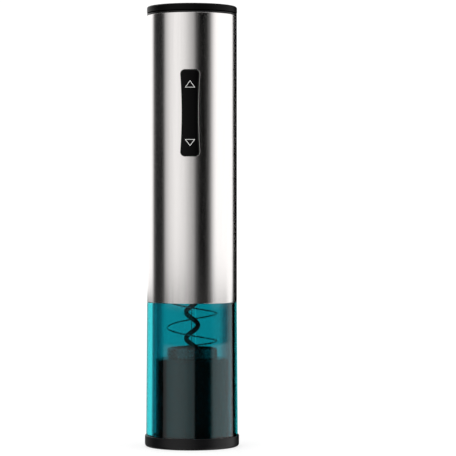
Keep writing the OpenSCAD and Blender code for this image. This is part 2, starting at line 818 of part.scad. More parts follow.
module chassis_half(side) {
    intersection() {
        chassis_shape();
        block([-tube_r, side < 0 ? -tube_r : 0, 0], [tube_r, side < 0 ? 0 : tube_r, tube_top]);
    }
}

module chassis_front() {
    color("#38393c") difference() {
        union() {
            chassis_half(-1);
            switch_pocket();
        }
        switch_pocket_cuts();
    }
}

module chassis_rear() {
    color("#38393c") chassis_half(1);
}

module chassis_screws() {
    color("#8f9296") for (side = [-1, 1], z = seam_heights)
        translate([side * seam_x, 0, z]) rotate([-90, 0, 0]) {
            translate([0, 0, -6]) cylinder(r = 1.1, h = 12 + e);
            translate([0, 0, 6]) cylinder(r = 2, h = 1.3);
        }
}

// ---- switch ----

module rocker() {
    web_x = 3.4;
    color("#0d0d0f") {
        intersection() {
            rocker_prism(0, rocker_back, rocker_face + 1);
            bar(rocker_face, 0, tube_top);
        }
        block([-web_x, -rocker_back - e, rocker_z - 2.4], [web_x, -pivot_y + 0.9, rocker_z + 2.4]);
        translate([0, -pivot_y, rocker_z]) rotate([0, 90, 0])
            cylinder(r = peg_r, h = 2 * (pocket_in + rail_t - 0.2), center = true);
        // studs that press the two buttons
        for (side = [-1, 1]) translate([0, -rocker_back - e, rocker_z + side * button_reach])
            rotate([-90, 0, 0]) cylinder(r = 1.5, h = rocker_back - button_head - stud_gap + e);
    }
}

module control_board() {
    color("#1d5a34") difference() {
        block([-board_w / 2, -board_front, board_foot], [board_w / 2, -(board_front - board_t), board_top]);
        for (z = board_screw_heights) translate([0, 0, z]) rotate([90, 0, 0])
            cylinder(r = 1 + fit, h = tube_r);
    }
}

module board_screws() {
    color("#8f9296") for (z = board_screw_heights) translate([0, -board_front, z]) rotate([-90, 0, 0]) {
        translate([0, 0, -1.2]) cylinder(r = 1.7, h = 1.2);
        translate([0, 0, -e]) cylinder(r = 0.9, h = 3.2);
    }
}

// Motor driver, capacitor and two small resistors on the board's front
module board_parts() {
    color("#26272a") {
        block([-2, -board_front - 1.6, rocker_z - 5], [2, -board_front, rocker_z]);
        translate([0, -board_front, rocker_z + 5.5]) rotate([90, 0, 0]) cylinder(r = 2.2, h = 2.4);
        for (x = [-3.4, 3.4])
            block([x - 0.6, -board_front - 0.6, rocker_z - 23], [x + 0.6, -board_front, rocker_z - 20.6]);
    }
}

module switch_bodies() {
    half = switch_w / 2;
    color("#222326") for (side = [-1, 1]) translate([0, 0, rocker_z + side * button_reach]) difference() {
        block([-half, -board_front - switch_t, -half], [half, -board_front, half]);
        translate([0, -board_front - 0.1, 0]) rotate([90, 0, 0]) cylinder(r = button_r + 0.08, h = switch_t);
    }
}

module switch_button(side) {
    color("#d4d2ca") translate([0, -button_head, rocker_z + side * button_reach]) rotate([-90, 0, 0])
        cylinder(r = button_r, h = button_head - board_front - 1.15);
}

// ---- battery bay ----

// Places children at the four cells; even cells stand with their nub up
module at_cells(which) {
    for (k = which) rotate(45 + 90 * k) translate([cell_x * sqrt(2), 0, 0]) rotate(-45 - 90 * k) children();
}

module battery_cells() {
    nub_r = 2.7;
    nub_h = 1;
    color("#7a2f2a") {
        at_cells([0, 2]) {
            bar(cell_r, cell_z, cell_top - nub_h);
            bar(nub_r, cell_top - nub_h - e, cell_top);
        }
        at_cells([1, 3]) {
            bar(cell_r, cell_z + nub_h, cell_top);
            bar(nub_r, cell_z, cell_z + nub_h + e);
        }
    }
}

// Flat contact under two neighbouring cells, from height a to height b, grown by g
module bridge(k, a, b, g) {
    rotate(90 * k) {
        for (s = [-1, 1]) translate([cell_x, s * cell_x, 0]) bar(contact_pad_r + g, a, b);
        block([cell_x - 3 - g, -cell_x, a], [cell_x + 3 + g, cell_x, b]);
    }
}

module battery_tray() {
    cup_h = 16;
    pocket_y = 0.15 - pocket_back;
    color("#3f4043") {
        difference() {
            union() {
                bar(chassis_in - 0.2, tray_z, tray_top);
                at_cells([0:3]) bar(cell_r + 1.2, tray_z, tray_top + cup_h);
            }
            at_cells([0:3]) bar(cell_r + 0.25, tray_top, tray_top + cup_h + e);
            bridge(2, tray_top - plate_metal - fit, tray_top + e, fit);
            at_cells([0, 3]) bar(contact_pad_r + fit, tray_top - plate_metal - fit, tray_top + e);
            at_cells([0, 3]) block([-1.3, -0.4, tray_z - e], [1.3, 0.4, tray_top]);
            // clear of the switch pocket
            block([-chassis_r, -chassis_r, tray_z - e], [chassis_r, pocket_y, tray_top + cup_h + e]);
        }
        block([-post_w / 2, -post_w / 2, tray_z], [post_w / 2, post_w / 2, cap_top - cap_roof - 1.2]);
    }
}

module tray_contact_plates() {
    color("#c9a45c") {
        bridge(2, tray_top - plate_metal, tray_top, 0);
        at_cells([0, 3]) {
            bar(contact_pad_r, tray_top - plate_metal, tray_top);
            block([-1.2, -0.3, tray_z - 2.4], [1.2, 0.3, tray_top - plate_metal + e]);
        }
        at_cells([1, 3]) bar(2.4, tray_top - e, cell_z);
    }
}

// Conical contact spring that fills the height from a to b, narrow end at b
module contact_spring(a, b) {
    wire = 0.3;
    turns = 2.75;
    steps = 36;
    coil([for (i = [0:steps]) let (t = i / steps)
        [4 - 1.9 * t, 360 * turns * t, a + wire + (b - a - 2 * wire) * t, wire]], 6);
}

module tray_contact_springs() {
    color("#c8cacc") at_cells([0, 2]) contact_spring(tray_top, cell_z);
}

module contact_carrier() {
    key_half = post_w / 2 + 0.2;
    color("#4b4c50") difference() {
        union() {
            bar(cap_spigot_in - 1.6, carrier_z, carrier_z + carrier_t);
            bar(boss_r, carrier_z, hub_lip_z + 1);
            bar(boss_r + 1, hub_lip_z, hub_lip_z + 1);
        }
        block([-key_half, -key_half, carrier_z - e], [key_half, key_half, cap_top]);
        for (k = [1, 3]) bridge(k, carrier_z - e, carrier_z + plate_metal + fit, fit);
    }
}

module cap_contact_plates() {
    color("#c9a45c") {
        for (k = [1, 3]) bridge(k, carrier_z, carrier_z + plate_metal, 0);
        at_cells([0, 2]) bar(2.4, cell_top, carrier_z + e);
    }
}

module cap_contact_springs() {
    color("#c8cacc") at_cells([1, 3]) translate([0, 0, cell_top + carrier_z]) rotate([180, 0, 0])
        contact_spring(cell_top, carrier_z);
}

// ---- leads ----

module battery_lead_red() {
    color("#b3261e") lead([[cell_x, -cell_x - 0.9, tray_z - 1.8], [cell_x, -cell_x - 2, tray_z - 4.5],
        [cell_x - 2, 3 - pocket_back, board_foot + 10], [3.4, lead_exit, board_foot + 9.6]], [1, 0, 0]);
}

module battery_lead_black() {
    color("#111111") lead([[cell_x, cell_x - 0.9, tray_z - 1.8], [cell_x + 2, cell_x - 4, tray_z - 3.5],
        [cell_x + 4.4, 0, tray_z - 4], [cell_x + 2, -cell_x, board_foot + 10.4],
        [3.4, 3.4 - pocket_back, board_foot + 7.6], [1.4, lead_exit, board_foot + 7]], [0.3, 0, 1]);
}

module motor_lead_red() {
    color("#b3261e") lead([[terminal_x - 0.85, 0, motor_top + 2.4], [terminal_x - 2, -3, motor_top + 4.6],
        [1, 4.2 - pocket_back, board_foot + 10.5], [0.9, lead_exit, board_foot + 10.2]], [1, 0, 0]);
}

module motor_lead_black() {
    color("#111111") lead([[-terminal_x + 0.85, 0, motor_top + 2.4], [-terminal_x + 2, -3, motor_top + 4.6],
        [-2.6, 4.2 - pocket_back, board_foot + 8.5], [-2.6, lead_exit, board_foot + 8]], [1, 0, 0]);
}

base_ring();
clear_cover();
steel_tube();
guide_sleeve();
guide_spring();
spring_seat();
worm();
top_cap();
cap_collar();
collar_screws();
contact_carrier();
cap_contact_plates();
cap_contact_springs();
battery_cells();
battery_tray();
tray_contact_plates();
tray_contact_springs();
chassis_front();
chassis_rear();
chassis_screws();
rocker();
control_board();
board_parts();
board_screws();
switch_bodies();
switch_button(1);  // upper_button
switch_button(-1);  // lower_button
motor_can();
motor_magnets();
motor_end_cap();
motor_terminals();
motor_shaft();
motor_armature();
commutator();
motor_pinion();
motor_plate();
motor_screws();
gearbox_housing();
plate_screws();
planet(0, stage1_z);  // stage1_planet_a
planet(120, stage1_z);  // stage1_planet_b
planet(240, stage1_z);  // stage1_planet_c
stage1_carrier();
planet_pins(mid_z, stage1_z + gear_w + end_float);  // stage1_pins
planet(0, stage2_z);  // stage2_planet_a
planet(120, stage2_z);  // stage2_planet_b
planet(240, stage2_z);  // stage2_planet_c
output_carrier();
planet_pins(out_z, stage2_z + gear_w + end_float);  // stage2_pins
output_bush();
thrust_washer();
retaining_clip();
battery_lead_red();
battery_lead_black();
motor_lead_red();
motor_lead_black();
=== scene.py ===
import json
import math

import bmesh
import bpy
from mathutils import Matrix, Vector


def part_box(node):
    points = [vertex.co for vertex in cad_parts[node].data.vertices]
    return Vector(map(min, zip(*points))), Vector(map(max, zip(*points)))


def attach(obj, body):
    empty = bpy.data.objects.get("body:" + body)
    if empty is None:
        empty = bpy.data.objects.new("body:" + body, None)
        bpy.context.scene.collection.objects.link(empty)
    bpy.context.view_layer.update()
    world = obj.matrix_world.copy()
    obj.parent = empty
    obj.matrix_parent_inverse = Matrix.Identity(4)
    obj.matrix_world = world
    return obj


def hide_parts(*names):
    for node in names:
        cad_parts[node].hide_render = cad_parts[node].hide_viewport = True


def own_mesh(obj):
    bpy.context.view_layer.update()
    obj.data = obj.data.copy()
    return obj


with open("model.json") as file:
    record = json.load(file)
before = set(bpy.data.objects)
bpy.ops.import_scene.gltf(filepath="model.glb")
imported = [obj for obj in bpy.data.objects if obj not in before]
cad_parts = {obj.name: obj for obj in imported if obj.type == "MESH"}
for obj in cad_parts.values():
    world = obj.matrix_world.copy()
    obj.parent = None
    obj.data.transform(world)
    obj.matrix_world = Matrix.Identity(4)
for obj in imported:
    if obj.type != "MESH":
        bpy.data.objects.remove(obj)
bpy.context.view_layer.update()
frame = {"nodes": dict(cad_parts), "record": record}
nodes = frame["nodes"]
MM = 0.001

# ---------------------------------------------------------------- mesh helpers


def rounded(corners, steps=5, hold=0.25 * MM):
    """Closed outline from (r, z, fillet) corners: arcs at the corners, with holding points beside them."""
    pts = []
    n = len(corners)
    for i, (r, z, f) in enumerate(corners):
        p = Vector((r, z))
        a = Vector(corners[i - 1][:2]) - p
        b = Vector(corners[(i + 1) % n][:2]) - p
        if f <= 0:
            pts.append(p)
            continue
        half = a.angle(b) / 2
        run = min(f / math.tan(half), 0.45 * min(a.length, b.length))
        f = run * math.tan(half)
        a.normalize()
        b.normalize()
        centre = p + (a + b).normalized() * (f / math.sin(half))
        start, end = p + a * run, p + b * run
        va, vb = start - centre, end - centre
        turn = va.angle_signed(vb)
        pts.append(start + a * min(hold, run * 0.5))
        for k in range(steps + 1):
            pts.append(centre + Matrix.Rotation(-turn * k / steps, 2) @ va)
        pts.append(end + b * min(hold, run * 0.5))
    return pts


def lathe(outline, segments=192, reach=None):
    """Turns a closed outline round Z. reach(angle, r, z) may move a point's radius."""
    verts, faces = [], []
    for i in range(segments):
        a = 2 * math.pi * i / segments
        for p in outline:
            r = reach(a, p[0], p[1]) if reach else p[0]
            verts.append((r * math.cos(a), r * math.sin(a), p[1]))
    n = len(outline)
    for i in range(segments):
        j = (i + 1) % segments
        for k in range(n):
            m = (k + 1) % n
            faces.append((i * n + k, j * n + k, j * n + m, i * n + m))
    return verts, faces


def sweep(path, radii, refs, sides=14):
    """Round wire along a path, closed at both ends."""
    verts, faces = [], []
    n = len(path)
    for i in range(n):
        along = (path[min(i + 1, n - 1)] - path[max(i - 1, 0)]).normalized()
        u = (refs[i] - along * refs[i].dot(along)).normalized()
        v = along.cross(u)
        for k in range(sides):
            a = 2 * math.pi * k / sides
            verts.append(path[i] + radii[i] * (math.cos(a) * u + math.sin(a) * v))
    for i in range(n - 1):
        for k in range(sides):
            m = (k + 1) % sides
            faces.append((i * sides + k, i * sides + m, (i + 1) * sides + m, (i + 1) * sides + k))
    faces.append(tuple(range(sides - 1, -1, -1)))
    faces.append(tuple((n - 1) * sides + k for k in range(sides)))
    return verts, faces


def tidy(mesh, sharp=38):
    """Merges doubled points, faces outwards, shades smooth and marks the sharp edges."""
    bm = bmesh.new()
    bm.from_mesh(mesh)
    bmesh.ops.remove_doubles(bm, verts=bm.verts, dist=1e-7)
    bmesh.ops.dissolve_degenerate(bm, dist=1e-8, edges=bm.edges)
    bmesh.ops.recalc_face_normals(bm, faces=bm.faces)
    for f in bm.faces:
        f.smooth = True
    for e in bm.edges:
        e.smooth = not (len(e.link_faces) == 2 and e.calc_face_angle(0) > math.radians(sharp))
    bm.to_mesh(mesh)
    bm.free()
    mesh.update()


def piece(name, geometry, mat, sharp=38):
    """New object in the scene from (points, faces)."""
    mesh = bpy.data.meshes.new(name)
    verts, faces = geometry
    mesh.from_pydata([tuple(v) for v in verts], [], faces)
    tidy(mesh, sharp)
    mesh.materials.append(mat)
    obj = bpy.data.objects.new(name, mesh)
    bpy.context.scene.collection.objects.link(obj)
    return obj


def cut(obj, other, mode="DIFFERENCE", sharp=38):
    """Applies an exact boolean and removes the tool."""
    mod = obj.modifiers.new("cut", "BOOLEAN")
    mod.object = other
    mod.operation = mode
    mod.solver = "EXACT"
    bpy.context.view_layer.update()
    done = bpy.data.meshes.new_from_object(obj.evaluated_get(bpy.context.evaluated_depsgraph_get()))
    obj.modifiers.clear()
    obj.data = done
    bpy.data.objects.remove(other)
    tidy(done, sharp)
    return obj


def stand_for(obj, body, slot, *names):
    """Puts a piece on its body, in place of the named nodes."""
    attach(obj, body)
    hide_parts(*names)
    return obj


# ---------------------------------------------------------------- materials


def shader(name, **sockets):
    """Principled material; a socket's name is written with underscores."""
    mat = bpy.data.materials.new(name)
    mat.use_nodes = True
    bsdf = mat.node_tree.nodes["Principled BSDF"]
    for key, value in sockets.items():
        bsdf.inputs[key.replace("_", " ")].default_value = value
    return mat, mat.node_tree, bsdf


def noise(tree, scale, detail=3.0, stretch=(1, 1, 1)):
    coord = tree.nodes.new("ShaderNodeTexCoord")
    mapping = tree.nodes.new("ShaderNodeMapping")
    mapping.inputs["Scale"].default_value = stretch
    tex = tree.nodes.new("ShaderNodeTexNoise")
    tex.inputs["Scale"].default_value = scale
    tex.inputs["Detail"].default_value = detail
    tree.links.new(coord.outputs["Object"], mapping.inputs["Vector"])
    tree.links.new(mapping.outputs["Vector"], tex.inputs["Vector"])
    return tex.outputs["Fac"]


def vary_colour(tree, bsdf, fac, dark, light):
    mix = tree.nodes.new("ShaderNodeMix")
    mix.data_type = "RGBA"
    mix.inputs[6].default_value = (*dark, 1)
    mix.inputs[7].default_value = (*light, 1)
    tree.links.new(fac, mix.inputs[0])
    tree.links.new(mix.outputs[2], bsdf.inputs["Base Color"])


def vary_roughness(tree, bsdf, fac, low, high):
    span = tree.nodes.new("ShaderNodeMapRange")
    span.inputs["From Min"].default_value = 0.3
    span.inputs["From Max"].default_value = 0.7
    span.inputs["To Min"].default_value = low
    span.inputs["To Max"].default_value = high
    tree.links.new(fac, span.inputs["Value"])
    tree.links.new(span.outputs["Result"], bsdf.inputs["Roughness"])


def bump(tree, bsdf, fac, strength, distance=0.02 * MM):
    node = tree.nodes.new("ShaderNodeBump")
    node.inputs["Strength"].default_value = strength
    node.inputs["Distance"].default_value = distance
    tree.links.new(fac, node.inputs["Height"])
    tree.links.new(node.outputs["Normal"], bsdf.inputs["Normal"])


def plastic(name, colour, rough=0.35, spread=0.08, grain=2600, relief=0.25, **more):
    """Moulded plastic: faint mottling, a fine spark-eroded grain and uneven gloss."""
    mat, tree, bsdf = shader(name, **more)
    broad = noise(tree, 140, 4)
    fine = noise(tree, grain, 2)
    vary_colour(tree, bsdf, broad, [c * 0.85 for c in colour], [min(1, c * 1.18) for c in colour])
    vary_roughness(tree, bsdf, fine, rough, rough + spread)
    bump(tree, bsdf, fine, relief)
    return mat


def metal(name, colour, rough=0.25, spread=0.1, scale=900, stretch=(1, 1, 0.06), relief=0.12, **more):
    """Drawn or turned metal: fine lines along one direction, slightly uneven tone and gloss."""
    mat, tree, bsdf = shader(name, Metallic=1.0, **more)
    lines = noise(tree, scale, 4, stretch)
    vary_colour(tree, bsdf, lines, [c * 0.93 for c in colour], [min(1, c * 1.04) for c in colour])
    vary_roughness(tree, bsdf, lines, rough, rough + spread)
    bump(tree, bsdf, lines, relief, 0.004 * MM)
    return mat


def ramp(tree, stops):
    """Colour ramp node from (position, colour) stops, the first at 0 and the last at 1."""
    node = tree.nodes.new("ShaderNodeValToRGB")
    elements = node.color_ramp.elements
    for position, colour in stops[1:-1]:
        elements.new(position).color = (*colour, 1)
    elements[0].color = (*stops[0][1], 1)
    elements[-1].color = (*stops[-1][1], 1)
    return node


def clear(name, face, band, rim):
    """See-through tinted plastic: deeper towards its sides, with a painted highlight in the bright colour at
    the very rim.
    """
    mat, tree, bsdf = shader(name, Roughness=0.0, IOR=1.49, Transmission_Weight=1.0)
    weight = tree.nodes.new("ShaderNodeLayerWeight")
    weight.inputs["Blend"].default_value = 0.5
    # the colour turns deeper towards the sides; the last stop (rim) is a painted highlight on the edge-on
    # wall
    tint_and_rim_highlight = ramp(tree, [(0, face), (0.27, face), (0.38, band), (0.5, band), (0.56, rim), (1, rim)])
    mottle = tree.nodes.new("ShaderNodeMix")
    mottle.data_type = "RGBA"
    mottle.blend_type = "MULTIPLY"
    mottle.inputs[0].default_value = 0.06
    tree.links.new(weight.outputs["Facing"], tint_and_rim_highlight.inputs["Fac"])
    tree.links.new(tint_and_rim_highlight.outputs["Color"], mottle.inputs[6])
    tree.links.new(noise(tree, 30, 2), mottle.inputs[7])
    tree.links.new(mottle.outputs[2], bsdf.inputs["Base Color"])
    return mat


steel = metal("satin_steel", (0.80, 0.778, 0.772), 0.165, 0.04, 1500, (1, 1, 0.02), 0.03)
black = plastic("black_plastic", (0.0035, 0.0035, 0.004), 0.3, 0.1, Specular_IOR_Level=0.22)
cap_black = plastic("cap_plastic", (0.002, 0.002, 0.0022), 0.34, 0.1, Specular_IOR_Level=0.06)
gloss = plastic("rocker_gloss", (0.0012, 0.0012, 0.0014), 0.14, 0.06, 1800, 0.08, Specular_IOR_Level=0.07)
guide_black = plastic("guide_plastic", (0.02, 0.024, 0.026), 0.22, 0.06, 1500, 0.1)
# the third colour is the painted highlight at the cover's edge-on rim
teal = clear("clear_teal", (0.03, 0.455, 0.51), (0.01, 0.12, 0.165), (0.03, 0.95, 1.0))
ink = plastic("mark_ink", (0.82, 0.82, 0.8), 0.45, 0.1, 4000, 0.1)
worm_coat = metal("worm_coating", (0.055, 0.058, 0.062), 0.25, 0.1, 700, (1, 1, 0.3))
wire = metal("spring_wire", (0.32, 0.33, 0.34), 0.2, 0.1, 1600, (1, 1, 1))
machined = metal("machined_steel", (0.5, 0.51, 0.53), 0.24, 0.12, 1200, (1, 1, 0.2))
zinc = metal("zinc_plate", (0.6, 0.62, 0.64), 0.28, 0.12, 1400, (1, 1, 1))
can = metal("motor_can_steel", (0.62, 0.63, 0.64), 0.3, 0.12, 700, (1, 1, 0.05))
tinned = metal("tinned_brass", (0.74, 0.6, 0.36), 0.25, 0.12, 1200, (1, 0.1, 1))
copper = metal("copper", (0.72, 0.36, 0.2), 0.3, 0.12, 1600, (1, 1, 4))
sintered = metal("sintered_metal", (0.62, 0.5, 0.28), 0.38, 0.14, 2400, (1, 1, 1), 0.3)
bronze = metal("bronze", (0.6, 0.42, 0.22), 0.3, 0.12, 1800, (1, 1, 1))
ferrite = plastic("ferrite", (0.06, 0.06, 0.065), 0.45, 0.15, 1400, 0.4)
chassis_grey = plastic("chassis_plastic", (0.03, 0.03, 0.033), 0.42, 0.14)
housing_black = plastic("gear_housing_plastic", (0.02, 0.02, 0.022), 0.45, 0.14, 1200, 0.5)
nylon = plastic("nylon", (0.72, 0.7, 0.62), 0.38, 0.12, 1200, 0.2)
button = plastic("button_plastic", (0.7, 0.69, 0.62), 0.35, 0.1)
board = plastic("solder_mask", (0.02, 0.17, 0.07), 0.28, 0.12, 700, 0.3)
chip = plastic("chip_resin", (0.012, 0.012, 0.013), 0.5, 0.16, 1500, 0.5)
cell = plastic("cell_wrap", (0.22, 0.035, 0.025), 0.25, 0.1, 500, 0.1)
red_wire = plastic("red_insulation", (0.5, 0.02, 0.015), 0.38, 0.1, 900, 0.2)
black_wire = plastic("black_insulation", (0.012, 0.012, 0.012), 0.38, 0.1, 900, 0.2)

FINISH = {
    "black_plastic": black, "clear_teal": teal, "steel_sheet": steel, "guide_plastic": guide_black,
    "worm_steel": worm_coat, "spring_steel": wire, "plain_steel": machined, "zinc_screw": zinc,
    "chassis_plastic": chassis_grey, "rocker_black": gloss, "button_plastic": button,
    "board_green": board, "chip_black": chip, "contact_metal": tinned, "cell_label": cell,
    "motor_steel": can, "magnet": ferrite, "white_plastic": nylon, "copper_winding": copper,
    "gear_metal": sintered, "bronze": bronze, "gear_housing": housing_black,
    "red_wire": red_wire, "black_wire": black_wire,
}
for part in frame["record"]["subparts"]:
    data = nodes[part["node"]].data
    data.materials.clear()
    data.materials.append(FINISH[part["material_slot"]])

# ---------------------------------------------------------------- steel tube

tube_lo, tube_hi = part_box("steel_tube")
TUBE_R = tube_hi.x
TUBE_WALL, TUBE_EDGE = 0.6 * MM, 0.28 * MM
rocker_lo, rocker_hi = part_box("rocker")
ROCKER_Z = (rocker_lo.z + rocker_hi.z) / 2
ROCKER_H = rocker_hi.z - rocker_lo.z
ROCKER_FACE = -rocker_lo.y
ROCKER_W = 9.8 * MM
ROCKER_WAIST = 8.0 * MM
ROCKER_CORNER = 2.0 * MM
ROCKER_GAP = 0.35 * MM


def rocker_half(t):
    return ROCKER_WAIST / 2 + (ROCKER_W - ROCKER_WAIST) / 2 * (2 * t / ROCKER_H) ** 2


def rocker_outline(grow, side_steps=28, corner_steps=8):
    """Waisted outline as (x, z above the middle), counter-clockwise, grown all round."""
    last = ROCKER_H / 2 - ROCKER_CORNER
    w = rocker_half(last)
    right = []
    for k in range(-side_steps, side_steps + 1):
        t = last * k / side_steps
        right.append((rocker_half(t) + grow, t))
    upper = []
    for k in range(1, corner_steps + 1):
        a = math.pi / 2 * k / corner_steps
        upper.append((w - ROCKER_CORNER + (ROCKER_CORNER + grow) * math.cos(a),
                      last + (ROCKER_CORNER + grow) * math.sin(a)))
    lower = [(x, -z) for x, z in reversed(upper)]
    half = lower + right + upper
    flat = [(0.0, half[-1][1])]
    return half + flat + [(-x, z) for x, z in reversed(half)] + [(0.0, half[0][1])]


tube_profile = rounded([
    (TUBE_R, tube_lo.z, TUBE_EDGE), (TUBE_R, tube_hi.z, TUBE_EDGE),
    (TUBE_R - TUBE_WALL, tube_hi.z, 0.1 * MM), (TUBE_R - TUBE_WALL, tube_lo.z, 0.1 * MM)], 4)
tube = piece("steel_tube_shell", lathe(tube_profile, 256), steel)
ring = rocker_outline(ROCKER_GAP)
front, back = -TUBE_R - 3 * MM, -TUBE_R + 4 * MM
n = len(ring)
punch = piece("punch", (
    [(x, front, ROCKER_Z + z) for x, z in ring] + [(x, back, ROCKER_Z + z) for x, z in ring],
    [(k, (k + 1) % n, n + (k + 1) % n, n + k) for k in range(n)]
    + [tuple(range(n - 1, -1, -1)), tuple(range(n, 2 * n))]), steel)
cut(tube, punch)


def soften_aperture(mesh):
    """Bevels the outer rim of the rocker's opening."""
    bm = bmesh.new()
    bm.from_mesh(mesh)
    rim = [e for e in bm.edges if len(e.link_faces) == 2 and e.calc_face_angle(0) > 1.0
           and all(abs(v.co.xy.length - TUBE_R) < 0.02 * MM for v in e.verts)
           and all(abs(v.co.x) < ROCKER_W and v.co.y < 0 for v in e.verts)
           and all(abs(v.co.z - ROCKER_Z) < ROCKER_H / 2 + 1 * MM for v in e.verts)]
    bmesh.ops.bevel(bm, geom=rim, offset=0.14 * MM, segments=2, affect="EDGES", profile=0.5)
    bm.to_mesh(mesh)
    bm.free()


def round_normals(mesh, radius):
    """Points on the outer wall keep the true normal of a cylinder."""
    mesh.update()
    normals = []
    for poly in mesh.polygons:
        outer = abs(poly.normal.z) < 0.02 and all(
            abs(mesh.vertices[v].co.xy.length - radius) < 0.004 * MM for v in poly.vertices)
        for v in poly.vertices:
            co = mesh.vertices[v].co
            normals.append((co.x / radius, co.y / radius, 0.0) if outer else (0.0, 0.0, 0.0))
    mesh.normals_split_custom_set(normals)


soften_aperture(tube.data)
tidy(tube.data)
round_normals(tube.data, TUBE_R)
stand_for(tube, "housing", "steel_sheet", "steel_tube")

# ---------------------------------------------------------------- foot ring, clear cover, cap

foot_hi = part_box("base_ring")[1]
cover_lo, cover_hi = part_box("clear_cover")
FOOT_R, FOOT_H = foot_hi.x, foot_hi.z
COVER_FOOT_R = cover_hi.x
COVER_IN, COVER_TOP_IN_TUBE = 21.35 * MM, 23.35 * MM
MOUTH_R = 16.5 * MM
COVER_SEAT = COVER_FOOT_R + 0.05 * MM
foot_profile = rounded([
    (MOUTH_R, 0, 0.8 * MM), (FOOT_R, 0, 1.5 * MM), (FOOT_R, FOOT_H, 0.35 * MM),
    (COVER_SEAT, FOOT_H, 0.15 * MM), (COVER_SEAT, cover_lo.z, 0.05 * MM),
    (MOUTH_R, cover_lo.z, 0.3 * MM)], 6)
foot = piece("foot_ring", lathe(foot_profile, 192), black)
stand_for(foot, "housing", "black_plastic", "base_ring")

KEY_HALF, KEY_H, KEY_TOP = 1.2 * MM, 1.25 * MM, tube_lo.z + 1 * MM


def with_key(a, r, z):
    """The inner wall steps in at the back, where the guide's key rib stands."""
    at_back = math.sin(a) > 0 and abs(r * math.cos(a)) < KEY_HALF
    if at_back and r < COVER_IN + 0.02 * MM and z < KEY_TOP:
        return r - KEY_H
    return r


cover_profile = rounded([
    (COVER_IN, cover_lo.z, 0.1 * MM), (COVER_FOOT_R, cover_lo.z, 0.1 * MM), (COVER_FOOT_R, FOOT_H, 0),
    (TUBE_R, tube_lo.z, 0.12 * MM), (COVER_TOP_IN_TUBE, tube_lo.z, 0.1 * MM),
    (COVER_TOP_IN_TUBE, cover_hi.z, 0.2 * MM), (COVER_IN, cover_hi.z, 0.2 * MM),
    (COVER_IN, tube_lo.z + 1.05 * MM, 0), (COVER_IN, tube_lo.z + 0.95 * MM, 0)], 4)
cover = piece("clear_window", lathe(cover_profile, 288, with_key), teal)
stand_for(cover, "housing", "clear_teal", "clear_cover")

cap_lo, cap_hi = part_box("top_cap")
CAP_R = cap_hi.x
CAP_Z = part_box("cap_collar")[1].z + 0.1 * MM
SPIGOT_R, SPIGOT_IN = 20.0 * MM, 17.6 * MM
HUB_R, HUB_IN, HUB_CATCH = 7.0 * MM, 5.9 * MM, 4.9 * MM
ROOF_Z = cap_hi.z - 2.3 * MM
HUB_Z, CATCH_Z = cap_lo.z + 3.2 * MM, cap_lo.z + 6.2 * MM
CAP_CROWN, CAP_EDGE = 0.3 * MM, 1 * MM
CROWN_STEPS, EDGE_STEPS = 8, 6
cap_profile = [Vector((0.0, cap_hi.z))]
for k in range(1, CROWN_STEPS + 1):
    r = (CAP_R - 1.2 * MM) * k / CROWN_STEPS
    cap_profile.append(Vector((r, cap_hi.z - CAP_CROWN * (r / CAP_R) ** 2)))
for k in range(EDGE_STEPS + 1):
    a = math.pi / 2 * (1 - k / EDGE_STEPS)
    cap_profile.append(Vector((CAP_R - CAP_EDGE + CAP_EDGE * math.cos(a),
                               cap_hi.z - 1.32 * MM + CAP_EDGE * math.sin(a))))
cap_profile += [Vector((CAP_R, cap_hi.z - 1.6 * MM)), Vector((CAP_R, CAP_Z + 0.5 * MM))]
cap_profile += rounded([
    (CAP_R, CAP_Z, 0.25 * MM), (SPIGOT_R, CAP_Z, 0.1 * MM), (SPIGOT_R, cap_lo.z, 0.3 * MM),
    (SPIGOT_IN, cap_lo.z, 0.3 * MM), (SPIGOT_IN, ROOF_Z, 0.5 * MM),
    (HUB_R, ROOF_Z, 0.3 * MM), (HUB_R, HUB_Z, 0.2 * MM),
    (HUB_CATCH, HUB_Z, 0.1 * MM), (HUB_CATCH, CATCH_Z, 0.05 * MM),
    (HUB_IN, CATCH_Z, 0.05 * MM), (HUB_IN, ROOF_Z, 0.1 * MM)], 4)
cap_profile.append(Vector((0.0, ROOF_Z)))
cap = piece("cap_dome", lathe(cap_profile, 192), cap_black)

LUGS, LUG_ARC, LUG_STEPS = 3, 14, 8
LUG_Z, LUG_H = cap_lo.z + 0.5 * MM, 1.6 * MM
LUG_IN, LUG_R = SPIGOT_R - 0.6 * MM, 21.5 * MM
LUG_SECTION = ((LUG_IN, LUG_Z), (LUG_R, LUG_Z), (LUG_R, LUG_Z + LUG_H), (LUG_IN, LUG_Z + LUG_H))
for k in range(LUGS):
    arc, sides = [], []
    for i in range(LUG_STEPS + 1):
        a = math.radians(360 / LUGS * k - LUG_ARC * (1 - i / LUG_STEPS))
        arc += [(r * math.cos(a), r * math.sin(a), z) for r, z in LUG_SECTION]
    for i in range(LUG_STEPS):
        for j in range(4):
            m = (j + 1) % 4
            sides.append((4 * i + j, 4 * i + m, 4 * i + 4 + m, 4 * i + 4 + j))
    last = 4 * LUG_STEPS
    ends = [(3, 2, 1, 0), (last, last + 1, last + 2, last + 3)]
    cut(cap, piece("lug", (arc, sides + ends), cap_black), "UNION")
stand_for(cap, "screw_cap", "black_plastic", "top_cap")

# ---------------------------------------------------------------- rocker

EDGE = 0.55 * MM
ROCKER_T = 3.3 * MM
FACE_STEPS = 8
ROCKER_BACK = ROCKER_FACE - ROCKER_T
WEB_R, WEB_HALF = 0.9 * MM, 7.4 * MM
STUD_R, STUD_H, STUD_REACH = 1.5 * MM, 1.1 * MM, 15 * MM
AXIS = 0.0001 * MM      # nearly on the axis, so that an outline never folds on it


